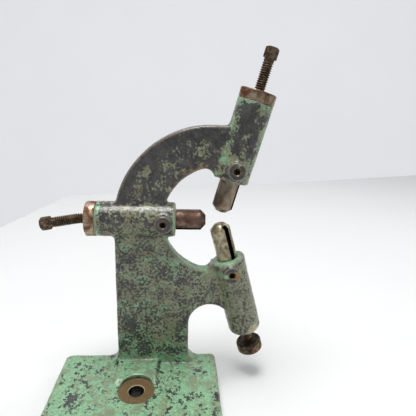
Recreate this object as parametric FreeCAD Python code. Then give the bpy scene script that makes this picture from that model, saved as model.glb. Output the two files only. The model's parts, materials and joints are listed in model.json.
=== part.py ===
import FreeCAD, Part
import math
import os

from FreeCAD import Vector

# Open-sided three-jaw steady rest: one iron casting with three tubular bosses aimed at a common work
# centre, and in each boss a keyed round jaw that a square-head or round-head screw moves in and out.
#
# Frame, in millimetres: +Z up, +Y towards the back of the casting, +X towards the open side.
# The origin is where the axis of the bolt hole meets the underside of the base.

# ---- driving dimensions -------------------------------------------------------------------------
CLEAR = 0.05                 # radial running clearance of every sliding or turning fit

BASE_WIDTH = 101.6
BASE_DEPTH = 69.1
BASE_THICKNESS = 12.7
BASE_CORNER = 3.5
EDGE_ROUND = 1.2             # cast rounding along the outer edges

BOLT_R = 4.7625              # 3/8 inch holding-down bolt hole
SPOT_R = 11.1
SPOT_DEPTH = 0.6             # spot-face floor below the top of the base
PAD_WIDTH = 26.0             # raised pad between the column and the spot-face
PAD_HEIGHT = 3.2
PAD_SHIFT = -1.3             # the pad's middle lies this far left of the bolt hole
PAD_FRONT = 27.5             # where the pad has sloped away, in front of the web's middle

WEB = 9.525                  # thickness of the flat web
CENTRE_TO_BOLT = 48.7        # work centre, to the right of the bolt hole
CENTRE_HEIGHT = 112.7        # work centre above the underside of the base

THROAT_R = 34.0              # the throat is an arc about the work centre
ARCH_R = 59.0                # outer arc of the arch, and its centre relative to the work centre
ARCH_DX = -4.4
ARCH_DZ = -1.28
COLUMN_LEFT = ARCH_DX - ARCH_R   # column edges, relative to the work centre; the arch runs into the left one
COLUMN_RIGHT = -17.0
GAP_R = 13.6                 # rounded top of the gap under the lower arm
GAP_DX = COLUMN_RIGHT + GAP_R
GAP_DZ = -70.5
WEB_REACH = 10.0             # the web runs this far past the work centre, inside the bosses
CORNER_R = 5.6               # hollow corner where the throat meets the near rim of a boss
CORNER_AT = 23.6             # its centre, along the boss from the work centre
CORNER_OFF = 15.7            # and off the boss's axis
FOOT_LEFT_R = 8.0            # corner radii in the plane of the web
FOOT_RIGHT_R = 8.0

BOSS_R = 10.75
BOSS_NEAR = 26.2             # all distances along a boss are from the work centre
BOSS_FAR = 74.0
LOWER_BOSS_FAR = 80.0
LOWER_BOSS_ROUND = 3.6
UPPER_TILT = 15.0            # how far the upper and lower bosses lean off the vertical
LOWER_TILT = 15.8
# Blends where the web runs into a boss: boss, above or below its axis, radius
BOSS_BLENDS = [("side", False, 2.5), ("side", True, 1.5), ("upper", True, 2.5), ("lower", False, 2.5)]

JAW_R = 6.35
JAW_LENGTH = 41.3
JAW_CHAMFER = 3.1
KEYWAY_WIDTH = 3.175
KEYWAY_FLOOR = 4.15          # distance of the keyway's floor from the jaw's axis
KEY_NEAR = 37.5
KEY_FAR = 43.3
KEY_OUT = 8.2

SCREW_R = 3.175              # 1/4 inch, 20 threads to the inch; the thread is drawn as its outside
SCREW_ROOT_R = 2.4
JOURNAL_LENGTH = 8.5         # plain end of the screw, held inside the jaw
GROOVE_R = 1.6
GROOVE_WIDTH = 1.9
GROOVE_BACK = 4.0            # groove and cross pin, in from the jaw's rear end
PIN_R = 0.79
PIN_FIT = 0.01               # radial clearance of the cross pin in its jaw
PIN_LENGTH = 11.0
HEAD_SQUARE = 6.35
HEAD_HEIGHT = 6.35
HEAD_CORNER_R = 4.35         # the head's corners are turned down to this radius
HEAD_BEVEL = 0.7
NECK_LENGTH = 1.3
NECK_R = 2.95
THREAD_START = 0.4           # the thread begins this far behind the jaw
BEND_AT = 83.4               # the side screw is bent down, just outside its cap
BEND_LENGTH = 3.0            # length of the bent stretch, along the screw
BEND_ANGLE = 10.0
ROUND_HEAD_R = 8.5
ROUND_HEAD_HEIGHT = 8.0
ROUND_HEAD_ROUND = 1.3

CAP_R = 10.7
CAP_FAR = 80.0
CAP_CHAMFER = 0.35
SPIGOT_R = 8.45
SPIGOT_NEAR = 68.5
PLUG_FAR = 79.4              # outer face of the lower boss's plug

SIDE_PAD_R = 5.6             # round pad on the front of each boss, for the lock screw
SIDE_PAD_FACE = 13.0         # its face, in front of the web's middle
SIDE_PAD_AT = 33.6
SIDE_PAD_ROUND = 0.6
LOCK_R = 1.75                # 6-32 lock screw
LOCK_SCREW_LENGTH = 2.6
LOCK_SOCKET_FLATS = 1.6
LOCK_SOCKET_DEPTH = 1.3
LOCK_PLUG_LENGTH = 1.5
LOCK_GAP = 0.2               # lock plug to jaw when the screw is slack
LOCK_PLAY = 0.02             # lock screw to lock plug

# ---- derived places -----------------------------------------------------------------------------
WEB_BACK = BASE_DEPTH / 2.0
WEB_MIDDLE = WEB_BACK - WEB / 2.0
CENTRE = Vector(CENTRE_TO_BOLT, WEB_MIDDLE, CENTRE_HEIGHT)
BASE_TOP = BASE_THICKNESS - CENTRE_HEIGHT          # height of the base top from the work centre
FORWARD = Vector(0, -1, 0)
UP = Vector(0, 0, 1)


def leaning(degrees):
    """Upward direction in the plane of the web, leaning towards the open side."""
    return Vector(math.sin(math.radians(degrees)), 0, math.cos(math.radians(degrees)))


def keyway_side(side, lean):
    """Direction a keyway faces: a side of the jaw, turned towards the front."""
    return side * math.cos(math.radians(lean)) + FORWARD * math.sin(math.radians(lean))


# Each station: outward axis, side the keyway faces, where its jaw's tip and its screw's head stand
# along the screw, and how far the head is turned.
STATIONS = {
    "side": {"out": -Vector(1, 0, 0), "key": keyway_side(-UP, 36.0), "tip": 7.7, "head": 101.75,
             "turn": 20.0},
    "upper": {"out": leaning(UPPER_TILT), "key": keyway_side(leaning(UPPER_TILT + 90.0), 28.0),
              "tip": 5.9, "head": 98.4, "turn": 7.0},
    "lower": {"out": leaning(180.0 - LOWER_TILT), "key": keyway_side(leaning(90.0 - LOWER_TILT), 55.0),
              "tip": 2.5, "head": 89.0, "turn": 0.0},
}


# ---- helpers ------------------------------------------------------------------------------------
def rod(radius, axis, near, far, base=CENTRE):
    """Cylinder along an axis through base, between two distances from it."""
    return Part.makeCylinder(radius, far - near, base + axis * near, axis)


def disc(radius, dx, dz):
    """Disc in the plane of the web, wide enough to cut or to trim the web."""
    start = Vector(CENTRE.x + dx, WEB_MIDDLE - WEB / 2.0, CENTRE.z + dz)
    return Part.makeCylinder(radius, WEB, start, Vector(0, 1, 0))


def slab(x0, x1, z0, z1):
    """Rectangle of the web, given by its sides relative to the work centre."""
    corner = Vector(CENTRE.x + x0, WEB_MIDDLE - WEB / 2.0, CENTRE.z + z0)
    return Part.makeBox(x1 - x0, WEB, z1 - z0, corner)


def bar(origin, out, side, length, width, near, far):
    """Square bar along side, its section length along out and width across."""
    across = out.cross(side)
    start = origin - out * (length / 2.0) - across * (width / 2.0) + side * near
    face = Part.Face(Part.makePolygon([
        start,
        start + out * length,
        start + out * length + across * width,
        start + across * width,
        start,
    ]))
    return face.extrude(side * (far - near))


def edges_where(shape, test):
    """Edges whose end points and middle all pass a test."""
    found = []
    for edge in shape.Edges:
        middle = edge.valueAt((edge.FirstParameter + edge.LastParameter) / 2.0)
        if all(test(p) for p in [middle] + [v.Point for v in edge.Vertexes]):
            found.append(edge)
    return found


def regular_prism(sides, flats, origin, axis, start, height, turn):
    """Prism of a regular polygon across-flats size, its first corner turned about the axis."""
    radius = flats / 2.0 / math.cos(math.pi / sides)
    points = [
        Vector(radius * math.cos(2 * math.pi * k / sides), radius * math.sin(2 * math.pi * k / sides), 0)
        for k in range(sides + 1)
    ]
    solid = Part.Face(Part.makePolygon(points)).extrude(Vector(0, 0, height))
    solid.rotate(Vector(), UP, turn)
    solid.Placement = FreeCAD.Placement(origin + axis * start, FreeCAD.Rotation(UP, axis)) * solid.Placement
    return solid


# ---- frame casting ------------------------------------------------------------------------------
def web():
    """Flat web: column, arch over the throat and lower arm under it."""
    quarter = slab(2 * COLUMN_LEFT, ARCH_DX, ARCH_DZ, 2 * ARCH_R)
    arch = disc(ARCH_R, ARCH_DX, ARCH_DZ).common(quarter)
    crown = slab(ARCH_DX, WEB_REACH, THROAT_R / 2.0, ARCH_DZ + ARCH_R)
    column = slab(COLUMN_LEFT, COLUMN_RIGHT, BASE_TOP - BASE_THICKNESS / 2.0, ARCH_DZ)
    arm = slab(COLUMN_LEFT / 2.0, WEB_REACH, GAP_DZ, 0)
    body = arch.fuse([crown, column, arm])
    body = body.cut(disc(THROAT_R, 0, 0))
    body = body.cut(disc(GAP_R, GAP_DX, GAP_DZ))
    return body.removeSplitter()


def throat_corner(name):
    """The web that fills the corner between the throat and the near rim of a boss, hollowed round."""
    out = STATIONS[name]["out"]
    inward = Vector(-abs(out.z), 0, math.copysign(out.x, out.z))
    width = WEB - EDGE_ROUND
    front = CENTRE + FORWARD * (width / 2.0)
    middle = front + out * CORNER_AT + inward * CORNER_OFF
    on_throat = front + (middle - front).normalize() * (THROAT_R + 2.0)
    inside = front + out * (THROAT_R - 2.0) + inward * (BOSS_R - 2.0)
    at_rim = front + out * (BOSS_NEAR + 0.4) + inward * (BOSS_R - 2.0)
    face = Part.Face(Part.makePolygon([middle, on_throat, inside, at_rim, middle]))
    hollow = Part.makeCylinder(CORNER_R, width, middle, -FORWARD)
    return face.extrude(-FORWARD * width).cut(hollow)


def foot(side, column_x, radius):
    """Concave corner between a column edge and the top of the base."""
    block = slab(min(column_x, column_x + side * radius), max(column_x, column_x + side * radius),
                 BASE_TOP, BASE_TOP + radius)
    return block.cut(disc(radius, column_x + side * radius, BASE_TOP + radius))


def base():
    """Base plate with rounded corners and top edges."""
    corner = Vector(-BASE_WIDTH / 2.0, -BASE_DEPTH / 2.0, 0)
    plate = Part.makeBox(BASE_WIDTH, BASE_DEPTH, BASE_THICKNESS, corner)
    upright = [e for e in plate.Edges if abs(e.tangentAt(0).z) > 0.9]
    plate = plate.makeFillet(BASE_CORNER, upright)
    rim = edges_where(plate, lambda p: p.z > BASE_THICKNESS - 0.01)
    return plate.makeFillet(EDGE_ROUND, rim)


def bolt_pad():
    """Raised pad that runs forward from the column and slopes away beside the spot-face."""
    middle = PAD_SHIFT
    profile = [
        Vector(middle - PAD_WIDTH / 2.0, WEB_MIDDLE, BASE_THICKNESS - 1),
        Vector(middle - PAD_WIDTH / 2.0, WEB_MIDDLE, BASE_THICKNESS + PAD_HEIGHT),
        Vector(middle - PAD_WIDTH / 2.0, WEB_MIDDLE - PAD_FRONT + 5, BASE_THICKNESS + PAD_HEIGHT * 0.6),
        Vector(middle - PAD_WIDTH / 2.0, WEB_MIDDLE - PAD_FRONT, BASE_THICKNESS - 1),
    ]
    side = Part.Face(Part.makePolygon(profile + profile[:1]))
    return side.extrude(Vector(PAD_WIDTH, 0, 0))


def boss(name):
    """Tubular boss with its near rim rounded; the lower one is longer and round-ended."""
    out = STATIONS[name]["out"]
    far = LOWER_BOSS_FAR if name == "lower" else BOSS_FAR
    body = rod(BOSS_R, out, BOSS_NEAR, far)
    near_rim = edges_where(body, lambda p: (p - CENTRE).dot(out) < BOSS_NEAR + 0.01)
    body = body.makeFillet(EDGE_ROUND, near_rim)
    if name == "lower":
        far_rim = edges_where(body, lambda p: (p - CENTRE).dot(out) > far - 0.01)
        body = body.makeFillet(LOWER_BOSS_ROUND, far_rim)
    return body


def boss_hollows(name):
    """Jaw bore, rear counterbore, keyseat and lock-screw hole of one boss."""
    station = STATIONS[name]
    out = station["out"]
    far = LOWER_BOSS_FAR if name == "lower" else BOSS_FAR
    centre = CENTRE + out * SIDE_PAD_AT
    return [
        rod(JAW_R + CLEAR, out, BOSS_NEAR - 2, far + 1),
        rod(SPIGOT_R + CLEAR, out, SPIGOT_NEAR, far + 1),
        bar(CENTRE + out * ((KEY_NEAR + SPIGOT_NEAR) / 2.0), out, station["key"],
            SPIGOT_NEAR - KEY_NEAR, KEYWAY_WIDTH, 0, KEY_OUT),
        rod(LOCK_R + CLEAR, FORWARD, 0, SIDE_PAD_FACE + 1, centre),
        Part.makeCone(LOCK_R + CLEAR, LOCK_R + 0.8, 0.75, centre + FORWARD * (SIDE_PAD_FACE - 0.7), FORWARD),
    ]


def cast_web():
    """The web with the corners of its outline and its outer edges rounded."""
    body = web().fuse([foot(-1, COLUMN_LEFT, FOOT_LEFT_R), foot(1, COLUMN_RIGHT, FOOT_RIGHT_R)])
    body = body.removeSplitter()
    front, back = WEB_MIDDLE - WEB / 2.0, WEB_MIDDLE + WEB / 2.0
    low = CENTRE.z + BASE_TOP
    rim = edges_where(body, lambda p: min(abs(p.y - front), abs(p.y - back)) < 0.01 and p.z > low - 0.01)
    rim = [e for e in rim if not all(v.Point.z < low + 0.01 for v in e.Vertexes)]
    return body.makeFillet(EDGE_ROUND, rim)


def boss_joint(shape, name, above):
    """Edges where the web runs into one boss, on the upper or the lower side of its axis."""
    out = STATIONS[name]["out"]
    far = LOWER_BOSS_FAR if name == "lower" else BOSS_FAR

    def on_boss(point):
        arm = point - CENTRE
        along = arm.dot(out)
        off_axis = arm - out * along
        return (abs(off_axis.Length - BOSS_R) < 0.02 and (off_axis.z > 0) == above
                and BOSS_NEAR + EDGE_ROUND < along < far)

    return edges_where(shape, on_boss)


def frame_casting():
    """The one-piece iron casting: base, web, three bosses and their side pads."""
    body = cast_web().fuse([base(), bolt_pad()] + [boss(name) for name in STATIONS])
    body = body.removeSplitter()
    for name, above, radius in BOSS_BLENDS:
        body = body.makeFillet(radius, boss_joint(body, name, above))
    body = body.fuse([throat_corner("upper"), throat_corner("lower")])
    hollows = [
        Part.makeCylinder(BOLT_R, BASE_THICKNESS + 10, Vector(0, 0, -1)),
        Part.makeCylinder(SPOT_R, 20, Vector(0, 0, BASE_THICKNESS - SPOT_DEPTH)),
    ]
    for name, station in STATIONS.items():
        side_pad = rod(SIDE_PAD_R, FORWARD, 2, SIDE_PAD_FACE, CENTRE + station["out"] * SIDE_PAD_AT)
        face_rim = edges_where(side_pad, lambda p: p.y < WEB_MIDDLE - SIDE_PAD_FACE + 0.01)
        body = body.fuse(side_pad.makeFillet(SIDE_PAD_ROUND, face_rim))
        hollows += boss_hollows(name)
    return body.cut(hollows)


# ---- fittings of one station --------------------------------------------------------------------
def end_cap(name):
    """Steel cap screwed into the boss's outer end, or the flush plug of the lower boss."""
    out = STATIONS[name]["out"]
    if name == "lower":
        body = rod(SPIGOT_R, out, SPIGOT_NEAR, PLUG_FAR)
    else:
        flange = rod(CAP_R, out, BOSS_FAR, CAP_FAR)
        rims = [e for e in flange.Edges if e.Length > CAP_R * 4]
        body = flange.makeChamfer(CAP_CHAMFER, rims).fuse(rod(SPIGOT_R, out, SPIGOT_NEAR, BOSS_FAR))
    return body.cut(rod(SCREW_R + CLEAR, out, SPIGOT_NEAR - 1, CAP_FAR + 1))


def jaw_rear(name):
    """Distance of the jaw's rear end from the work centre."""
    return STATIONS[name]["tip"] + JAW_LENGTH


def pin_centre(name):
    """Middle of the cross pin, beside the groove of the screw."""
    station = STATIONS[name]
    along = station["out"] * (jaw_rear(name) - GROOVE_BACK)
    return CENTRE + along - station["key"] * (GROOVE_R + PIN_R + CLEAR)


def jaw(name):
    """Round jaw with a bevelled tip, a keyway along it and a socket for the screw's end."""
    station = STATIONS[name]
    out, tip, rear = station["out"], station["tip"], jaw_rear(name)
    cone = Part.makeCone(JAW_R - JAW_CHAMFER, JAW_R, JAW_CHAMFER, CENTRE + out * tip, out)
    body = cone.fuse(rod(JAW_R, out, tip + JAW_CHAMFER, rear)).removeSplitter()
    middle = CENTRE + out * ((tip + rear) / 2.0)
    keyway = bar(middle, out, station["key"], JAW_LENGTH + 2, KEYWAY_WIDTH, KEYWAY_FLOOR, JAW_R + 1)
    socket = rod(SCREW_ROOT_R + CLEAR, out, rear - JOURNAL_LENGTH - 1, rear + 1)
    across = out.cross(station["key"])
    pin_hole = rod(PIN_R + PIN_FIT, across, -JAW_R, JAW_R, pin_centre(name))
    return body.cut([keyway, socket, pin_hole])


def cross_pin(name):
    """Pin across the jaw that keeps the screw's grooved end in its socket."""
    station = STATIONS[name]
    across = station["out"].cross(station["key"])
    return rod(PIN_R, across, -PIN_LENGTH / 2.0, PIN_LENGTH / 2.0, pin_centre(name))


def guide_key(name):
    """Key seated in the bore that stops the jaw from turning."""
    station = STATIONS[name]
    middle = CENTRE + station["out"] * ((KEY_NEAR + KEY_FAR) / 2.0)
    return bar(middle, station["out"], station["key"], KEY_FAR - KEY_NEAR, KEYWAY_WIDTH - 2 * CLEAR,
               KEYWAY_FLOOR + 3 * CLEAR, KEY_OUT)


def square_head(name, start):
    """Square head with turned-down corners and a bevelled end, from a distance along its screw."""
    station = STATIONS[name]
    square = regular_prism(4, HEAD_SQUARE, CENTRE, station["out"], start, HEAD_HEIGHT, station["turn"])
    turned = rod(HEAD_CORNER_R, station["out"], start, start + HEAD_HEIGHT)
    rims = [e for e in turned.Edges if e.Length > HEAD_CORNER_R * 4]
    return square.common(turned.makeChamfer(HEAD_BEVEL, rims))


def round_head(name, start):
    """Plain round head of the lower screw, its edges worn round."""
    body = rod(ROUND_HEAD_R, STATIONS[name]["out"], start, start + ROUND_HEAD_HEIGHT)
    rims = [e for e in body.Edges if e.Length > ROUND_HEAD_R * 4]
    return body.makeFillet(ROUND_HEAD_ROUND, rims)


def screw_end(name):
    """Plain grooved end of a screw, inside its jaw."""
    out, rear = STATIONS[name]["out"], jaw_rear(name)
    groove = rear - GROOVE_BACK
    stem = rod(SCREW_ROOT_R, out, rear - JOURNAL_LENGTH, rear + THREAD_START)
    ring = rod(SCREW_R, out, groove - GROOVE_WIDTH / 2.0, groove + GROOVE_WIDTH / 2.0)
    return stem.cut(ring).fuse(rod(GROOVE_R, out, groove - GROOVE_WIDTH, groove + GROOVE_WIDTH))


def screw_outside(name, start, head):
    """Thread from a distance along the screw, neck and head."""
    out = STATIONS[name]["out"]
    thread = rod(SCREW_R, out, start, head - NECK_LENGTH)
    neck = rod(NECK_R, out, head - NECK_LENGTH, head)
    top = round_head(name, head) if name == "lower" else square_head(name, head)
    return thread.fuse([neck, top])


def screw(name):
    """Adjusting screw: head, neck, thread, and a plain grooved end inside the jaw. The side one is bent
    down outside its cap: a straight thread, a bent stretch, and the rest turned about the bend's centre."""
    out, head, start = STATIONS[name]["out"], STATIONS[name]["head"], jaw_rear(name) + THREAD_START
    if name != "side":
        return screw_end(name).fuse(screw_outside(name, start, head)).removeSplitter()
    bend_r = BEND_LENGTH / math.radians(BEND_ANGLE)
    bend_at = CENTRE + out * BEND_AT
    bend_centre, bend_axis = bend_at - UP * bend_r, out.cross(-UP)
    straight = rod(SCREW_R, out, start, BEND_AT)
    section = Part.Face(Part.Wire(Part.makeCircle(SCREW_R, bend_at, out)))
    bent = section.revolve(bend_centre, bend_axis, BEND_ANGLE)
    rest = screw_outside(name, BEND_AT, head - BEND_LENGTH)
    rest.rotate(bend_centre, bend_axis, BEND_ANGLE)
    return screw_end(name).fuse([straight, bent, rest]).removeSplitter()


def lock_plug(name):
    """Brass plug between the lock screw and the jaw."""
    base_point = CENTRE + STATIONS[name]["out"] * SIDE_PAD_AT
    near = JAW_R + LOCK_GAP
    return rod(LOCK_R - CLEAR, FORWARD, near, near + LOCK_PLUG_LENGTH, base_point)


def lock_screw(name):
    """Headless socket screw in the side pad, sunk below its face."""
    base_point = CENTRE + STATIONS[name]["out"] * SIDE_PAD_AT
    near = JAW_R + LOCK_GAP + LOCK_PLUG_LENGTH + LOCK_PLAY
    far = near + LOCK_SCREW_LENGTH
    socket = regular_prism(6, LOCK_SOCKET_FLATS, base_point, FORWARD, far - LOCK_SOCKET_DEPTH,
                           LOCK_SOCKET_DEPTH + 1, 0)
    return rod(LOCK_R, FORWARD, near, far, base_point).cut(socket)


def export(name, shape):
    """Write one node and report its volume."""
    shape.exportStep("parts/" + name + ".step")
    solids = len(shape.Solids)
    print(f"{name:18s} {solids} solid {shape.Volume / 1000.0:8.3f} cm3 valid {shape.isValid()}")


os.makedirs("parts", exist_ok=True)
export("frame_casting", frame_casting())
for name in STATIONS:
    export(name + ("_plug" if name == "lower" else "_cap"), end_cap(name))
    export(name + "_jaw", jaw(name))
    export(name + "_screw", screw(name))
    export(name + "_cross_pin", cross_pin(name))
    export(name + "_guide_key", guide_key(name))
    export(name + "_lock_plug", lock_plug(name))
    export(name + "_lock_screw", lock_screw(name))
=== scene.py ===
import json
import math

import bpy
import numpy as np
from mathutils import Matrix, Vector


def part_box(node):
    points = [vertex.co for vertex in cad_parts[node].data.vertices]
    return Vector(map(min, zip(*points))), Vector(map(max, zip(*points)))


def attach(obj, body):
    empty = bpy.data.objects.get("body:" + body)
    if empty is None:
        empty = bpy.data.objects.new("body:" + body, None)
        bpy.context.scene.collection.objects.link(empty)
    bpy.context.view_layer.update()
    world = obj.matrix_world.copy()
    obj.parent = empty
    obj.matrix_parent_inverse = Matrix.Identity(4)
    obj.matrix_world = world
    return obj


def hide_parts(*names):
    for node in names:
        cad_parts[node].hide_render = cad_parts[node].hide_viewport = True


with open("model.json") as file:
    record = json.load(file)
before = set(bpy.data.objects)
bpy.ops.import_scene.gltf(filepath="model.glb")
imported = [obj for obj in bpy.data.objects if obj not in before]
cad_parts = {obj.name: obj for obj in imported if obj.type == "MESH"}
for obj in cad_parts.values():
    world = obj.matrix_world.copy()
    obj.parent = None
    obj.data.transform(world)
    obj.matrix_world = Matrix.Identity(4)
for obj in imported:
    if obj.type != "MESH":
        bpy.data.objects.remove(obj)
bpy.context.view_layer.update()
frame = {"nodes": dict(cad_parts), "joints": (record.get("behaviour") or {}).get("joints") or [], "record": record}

MM = 0.001

# ---- places, read from the frame -----------------------------------------------------------------
JOINTS = {joint["name"]: joint for joint in frame["joints"]}
STATIONS = ("side", "upper", "lower")
OUT = {name: np.array(JOINTS[name + "_screw_turn"]["axis"]) for name in STATIONS}
AXIS_POINT = {name: np.array(JOINTS[name + "_screw_turn"]["pos_m"]) for name in STATIONS}
rise = (AXIS_POINT["upper"][2] - AXIS_POINT["side"][2]) / OUT["upper"][2]
CENTRE = AXIS_POINT["upper"] - OUT["upper"] * rise
FORWARD = np.array([0.0, -1.0, 0.0])
UP = np.array([0.0, 0.0, 1.0])
ORIGIN = np.zeros(3)
BOLT = next(mount for mount in frame["record"]["mounts"] if mount["name"] == "bolt_hole")
SPOT_FLOOR = BOLT["dims"]["length_mm"] * MM
BOLT_R = BOLT["dims"]["r_mm"] * MM


def values_of(items, name, width=1, kind=float):
    """One property of all vertices, edges, faces or face corners of a mesh, one row each."""
    flat = np.empty(len(items) * width, kind)
    items.foreach_get(name, flat)
    return flat.reshape(-1, width) if width > 1 else flat


def vertices_of(node):
    """All vertices of a CAD node, one row each."""
    return values_of(frame["nodes"][node].data.vertices, "co", 3)


def span(node, name):
    """Nearest and farthest distance of a node from the work centre along a station's axis."""
    along = (vertices_of(node) - CENTRE) @ OUT[name]
    return along.min(), along.max()


def girth(node, name):
    """Largest distance of a node from a station's axis."""
    arm = vertices_of(node) - CENTRE
    off_axis = arm - np.outer(arm @ OUT[name], OUT[name])
    return np.linalg.norm(off_axis, axis=1).max()


# ---- grids and meshes ----------------------------------------------------------------------------
def side_vectors(out):
    """Two unit vectors across an axis: the first towards the front, or upwards where the axis itself
    points to the front, and the second completing the frame."""
    guide = FORWARD if abs(FORWARD @ out) < 0.9 else UP
    first = guide - out * (guide @ out)
    first /= np.linalg.norm(first)
    return first, np.cross(out, first)


def even_angles(columns):
    """A full turn in equal steps."""
    return np.arange(columns) * 2.0 * np.pi / columns


def round_points(along, radius, out, base):
    """Points round an axis: the one in row i and column j stands at base + along[i] out, radius[i, j]
    away from the axis in the direction 2 pi j / columns."""
    angle = even_angles(radius.shape[1])
    first, second = side_vectors(out)
    ring = np.outer(np.cos(angle), first) + np.outer(np.sin(angle), second)
    return base + along[:, None, None] * out + radius[:, :, None] * ring


def tube_mesh(name, along, radius, out, base):
    """Closed surface round an axis, both ends of which close in a pole on it."""
    poles = np.array([base + along[0] * out, base + along[-1] * out])
    return mesh_from_rows(name, round_points(along, radius, out, base), poles)


def quads_between(rings, next_rings):
    """Faces that join each ring of vertex numbers to the next ring."""
    corners = [rings, np.roll(rings, -1, axis=1), np.roll(next_rings, -1, axis=1), next_rings]
    return np.stack(corners, axis=-1).reshape(-1, 4)


def mesh_from_rows(name, points, poles):
    """Mesh of closed rings, each joined to the next, with the first and last closed to a pole."""
    rows, columns = points.shape[:2]
    index = np.arange(rows * columns).reshape(rows, columns)
    low_pole, high_pole = rows * columns, rows * columns + 1
    low = np.stack([np.full(columns, low_pole), np.roll(index[0], -1), index[0]], axis=-1)
    high = np.stack([np.full(columns, high_pole), index[-1], np.roll(index[-1], -1)], axis=-1)
    corners = np.concatenate([points.reshape(-1, 3), poles])
    return mesh_from_faces(name, corners, [quads_between(index[:-1], index[1:]), low, high])


def mesh_from_faces(name, corners, groups):
    """Mesh from vertex rows and arrays of faces, each array with its own number of corners."""
    loops = np.concatenate([group.ravel() for group in groups])
    sizes = np.concatenate([np.full(len(group), group.shape[1]) for group in groups])
    return build_mesh(name, corners, loops, sizes)


def build_mesh(name, corners, loops, sizes):
    """Mesh from vertex rows, the vertex numbers of all faces in turn, and each face's corner count."""
    mesh = bpy.data.meshes.new(name)
    mesh.vertices.add(len(corners))
    mesh.vertices.foreach_set("co", corners.ravel())
    mesh.loops.add(len(loops))
    mesh.loops.foreach_set("vertex_index", loops)
    mesh.polygons.add(len(sizes))
    mesh.polygons.foreach_set("loop_start", np.concatenate([[0], np.cumsum(sizes)[:-1]]))
    mesh.update(calc_edges=True)
    mesh.validate()
    return mesh


def stand(name, data):
    """New object in the scene."""
    piece = bpy.data.objects.new(name, data)
    bpy.context.scene.collection.objects.link(piece)
    return piece


def place(name, mesh, body, slot, node):
    """Object at the origin that rides on a body, has a slot's finish and stands for a CAD node."""
    piece = stand(name, mesh)
    mesh.materials.append(MATERIALS[slot])
    mesh.shade_smooth()
    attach(piece, body)
    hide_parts(node)


ARC_POINTS = 7
STRAIGHT_ON = 1.55  # half the angle between two runs, past which they count as one


def rounded_profile(corners, step):
    """Open outline through (along, radius, rounding) corners: straight runs, each corner an arc of its
    rounding, tangent to both runs; points stand at most a step apart along the runs. An arc's points are
    its start and end directions weighted by sin((1 - t) sweep) and sin(t sweep), over sin(sweep)."""
    rows = [np.array(corners[0][:2])]
    for before, (*place_at, rounding), after in zip(corners[:-2], corners[1:-1], corners[2:]):
        here = np.array(place_at)
        inward = np.array(before[:2]) - here
        onward = np.array(after[:2]) - here
        inward /= np.linalg.norm(inward)
        onward /= np.linalg.norm(onward)
        half = math.acos(np.clip(inward @ onward, -1.0, 1.0)) / 2.0
        if rounding <= 0.0 or half > STRAIGHT_ON:
            rows.append(here)
            continue
        reach = rounding / math.tan(half)
        middle = here + (inward + onward) / np.linalg.norm(inward + onward) * rounding / math.sin(half)
        start = here + inward * reach - middle
        end = here + onward * reach - middle
        sweep = math.pi - 2.0 * half
        share = np.linspace(0.0, 1.0, ARC_POINTS)[:, None]
        rows.extend(middle + (np.sin((1.0 - share) * sweep) * start + np.sin(share * sweep) * end)
                    / math.sin(sweep))
    rows.append(np.array(corners[-1][:2]))
    rows = np.array(rows)
    lengths = np.linalg.norm(np.diff(rows, axis=0), axis=1)
    counts = np.maximum(1, np.ceil(lengths / step)).astype(int)
    pieces = [np.linspace(a, b, n, endpoint=False) for a, b, n in zip(rows[:-1], rows[1:], counts)]
    return np.concatenate(pieces + [rows[-1:]])


def smooth_step(low, high, value):
    """0 below low, 1 above high, and a smooth S between them."""
    t = np.clip((value - low) / (high - low), 0.0, 1.0)
    return t * t * (3.0 - 2.0 * t)


def fade(low, high, value):
    """1 below low, 0 above high, and a smooth S between them."""
    return 1.0 - smooth_step(low, high, value)


def lattice(cells, seed):
    """Repeatable value from -1 to 1 for each whole-number cell: its numbers times large factors, summed
    with the seed's, then folded over themselves until nothing regular is left."""
    with np.errstate(over="ignore"):
        mixed = (cells[:, 0] * 374761393 + cells[:, 1] * 668265263 + cells[:, 2] * 2147483647
                 + seed * 144665) & 0xFFFFFFFF
        mixed = ((mixed ^ (mixed >> 13)) * 1274126177) & 0xFFFFFFFF
        mixed = ((mixed ^ (mixed >> 16)) * 2246822519) & 0xFFFFFFFF
    return (mixed ^ (mixed >> 15)) / float(0x7FFFFFFF) - 1.0


def lumps(points, size, seed):
    """Smooth noise from -1 to 1: a value at each corner of cubes of that size, blended between them
    with an S curve along each direction."""
    grid = points / size + 1000.0
    low = np.floor(grid).astype(np.int64)
    t = grid - low
    t = t * t * (3.0 - 2.0 * t)
    total = np.zeros(len(points))
    for corner in range(8):
        offset = np.array([corner & 1, corner >> 1 & 1, corner >> 2 & 1])
        weight = np.prod(np.where(offset == 1, t, 1.0 - t), axis=1)
        total += weight * lattice(low + offset, seed)
    return total


# ---- shader helpers ------------------------------------------------------------------------------
def feed(tree, socket, value):
    """Link a socket to another one, or set it to a value."""
    if isinstance(value, bpy.types.NodeSocket):
        tree.links.new(value, socket)
    else:
        socket.default_value = value


def add(tree, kind, inputs=None, **settings):
    """New node in a tree, with its settings, and its inputs given as values or as sockets to link."""
    node = tree.nodes.new(kind)
    for key, value in settings.items():
        setattr(node, key, value)
    for key, value in (inputs or {}).items():
        feed(tree, node.inputs[key], value)
    return node


def colour_mix(tree, factor, first, second, blend="MIX"):
    """Colour socket: first where factor is 0, second where it is 1."""
    return add(tree, "ShaderNodeMix", {0: factor, 6: first, 7: second}, data_type="RGBA",
               blend_type=blend).outputs[2]


def laid_over(tree, under, mask, strength, over):
    """Colour socket: over laid on under, that strongly where the mask is 1."""
    return colour_mix(tree, maths(tree, "MULTIPLY", mask, strength), under, over)


def maths(tree, operation, first, second=0.0, third=0.0, clamp=False):
    """Value socket of one sum."""
    return add(tree, "ShaderNodeMath", {0: first, 1: second, 2: third}, operation=operation,
               use_clamp=clamp).outputs[0]


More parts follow.
